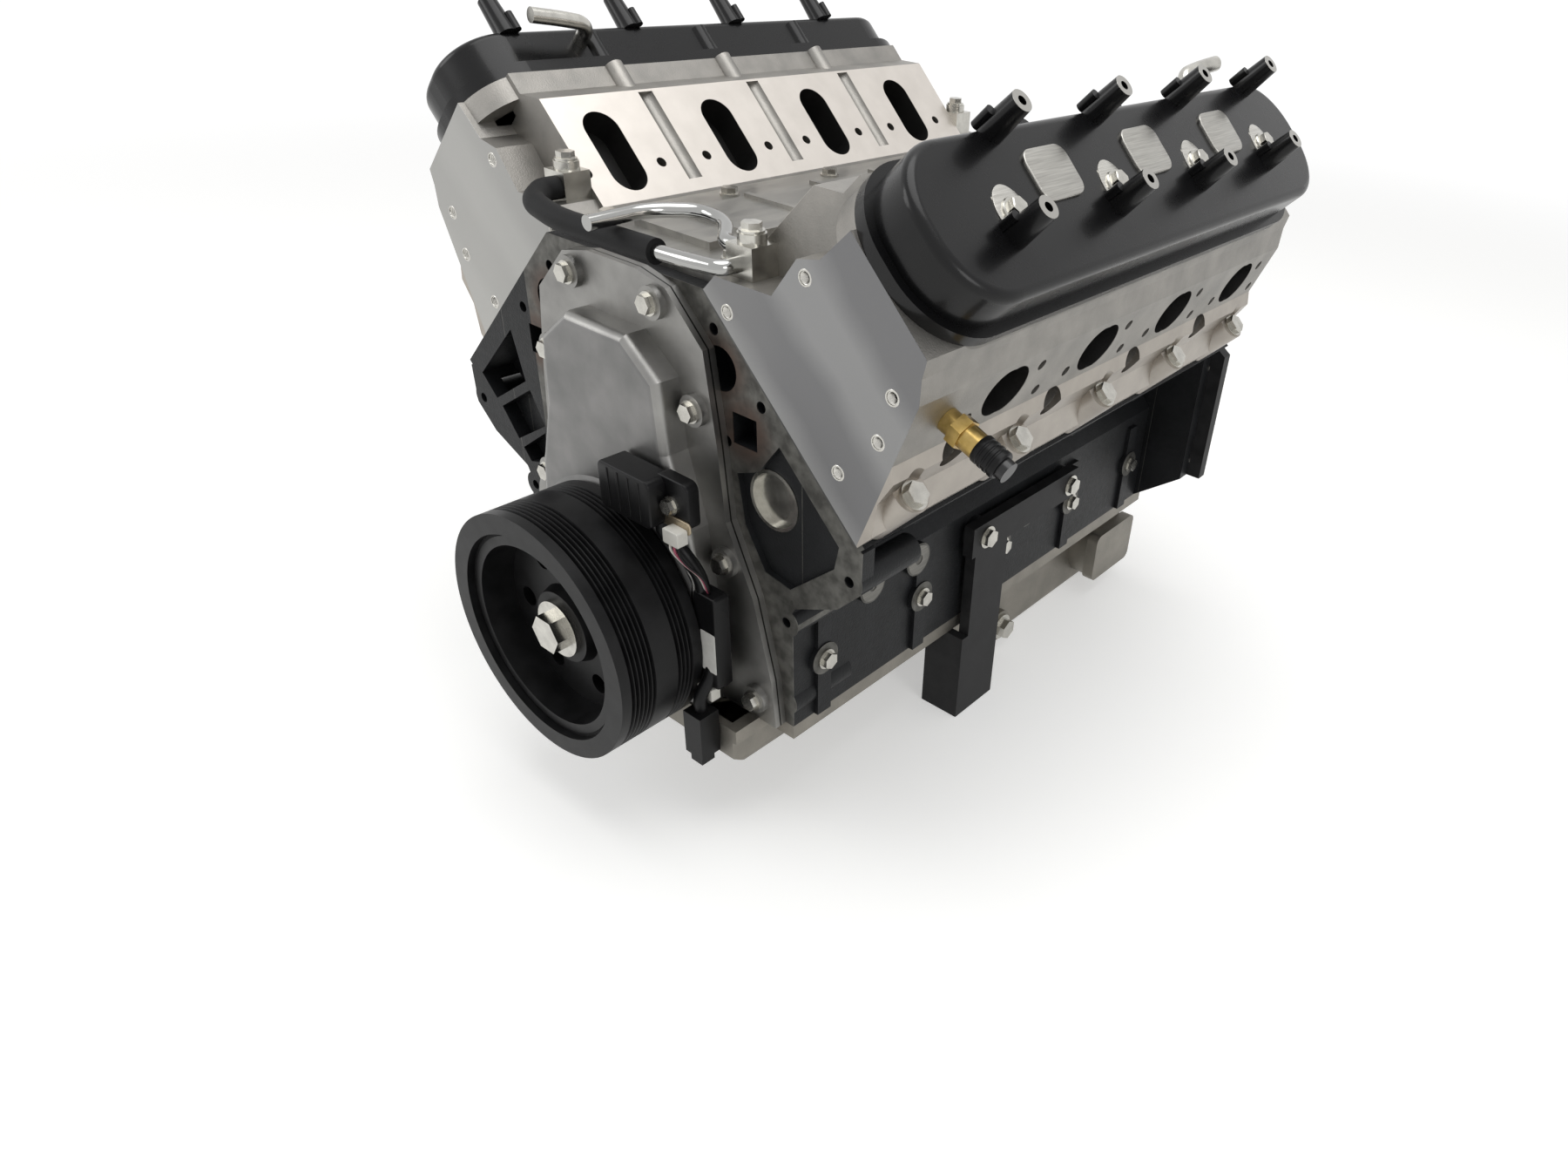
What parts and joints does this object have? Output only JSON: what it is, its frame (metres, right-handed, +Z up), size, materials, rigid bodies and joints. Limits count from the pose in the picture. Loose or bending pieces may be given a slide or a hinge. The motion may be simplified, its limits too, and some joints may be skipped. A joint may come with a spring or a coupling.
{
  "type": "v8 engine",
  "caption": "Pushrod V8 long-block engine with aluminium heads, black valve covers, ribbed damper and transport stands.",
  "frame": {"origin": "on the crankshaft axis at the rear face of the crank flange and block", "axes": "+Z up, -Y towards the engine's front, +X to the right seen from the front"},
  "size_m": [0.5765, 0.648, 0.5383],
  "materials": {
    "cast_iron_black": "satin black cast iron",
    "forged_steel": "machined",
    "zinc_steel": "zinc plated",
    "cast_aluminium": "sand cast",
    "head_aluminium": "cast and milled",
    "gasket_steel": "layered steel",
    "cover_black": "semi-gloss",
    "black_rubber": "matt",
    "damper_black": "satin",
    "black_plastic": "moulded",
    "pan_aluminium": "cast",
    "stand_steel": "satin black",
    "brass": "machined"
  },
  "bodies": {
    "engine": {"engine_block": "cast_iron_black", "main_bearing_caps": "cast_iron_black", "side_bolts": "zinc_steel", "timing_chain": "forged_steel", "camshaft_retainer": "zinc_steel", "oil_pump": "cast_aluminium", "oil_pickup_tube": "zinc_steel", "windage_tray": "zinc_steel", "pistons": "cast_aluminium", "wrist_pins": "forged_steel", "connecting_rods": "forged_steel", "cylinder_head_left": "head_aluminium", "cylinder_head_right": "head_aluminium", "head_gasket_left": "gasket_steel", "head_gasket_right": "gasket_steel", "valve_cover_left": "cover_black", "valve_cover_right": "cover_black", "valve_cover_bolts": "zinc_steel", "valves": "forged_steel", "valve_springs": "forged_steel", "rocker_arms": "forged_steel", "pushrods": "forged_steel", "lifters": "forged_steel", "head_bolts": "zinc_steel", "breather_tube_left": "zinc_steel", "breather_tube_right": "zinc_steel", "front_cover": "cast_aluminium", "front_cover_bolts": "zinc_steel", "front_crank_seal": "black_rubber", "rear_cover": "cast_aluminium", "rear_crank_seal": "black_rubber", "valley_cover": "cast_aluminium", "valley_cover_bolts": "zinc_steel", "oil_pressure_sensor": "black_plastic", "oil_pan": "pan_aluminium", "drain_plug": "zinc_steel", "oil_filter_adapter_cover": "pan_aluminium", "core_plugs": "zinc_steel", "mount_stand_left": "stand_steel", "mount_stand_right": "stand_steel", "stand_bolts": "zinc_steel", "rear_stand_plate": "stand_steel", "rear_plate_bolts": "zinc_steel", "vent_blocks": "zinc_steel", "vent_block_bolts": "zinc_steel", "steam_pipe": "zinc_steel", "steam_hose": "black_rubber", "coolant_temperature_sensor": "brass", "cam_sensor": "black_plastic", "cam_sensor_bolt": "zinc_steel", "sensor_harness": "black_plastic", "harness_connector": "black_plastic"},
    "crank": {"crankshaft": "forged_steel", "crank_sprocket": "forged_steel", "damper_hub": "damper_black", "damper_rubber_ring": "black_rubber", "damper_inertia_ring": "damper_black", "damper_bolt": "zinc_steel"},
    "cam": {"camshaft": "forged_steel", "cam_sprocket": "forged_steel"}
  },
  "joints": [
    {"name": "crank_spin", "type": "hinge", "parent": "engine", "child": "crank", "pos_m": [0, 0, 0], "axis": [0, 1, 0], "continuous": true, "deforming": ["connecting_rods", "timing_chain"]},
    {"name": "cam_spin", "type": "hinge", "parent": "engine", "child": "cam", "pos_m": [0, -0.28, 0.1249], "axis": [0, 1, 0], "continuous": true, "deforming": ["timing_chain"]}
  ],
  "couplings": [
    {"joint": "cam_spin", "follows": "crank_spin", "ratio": 0.5}
  ]
}
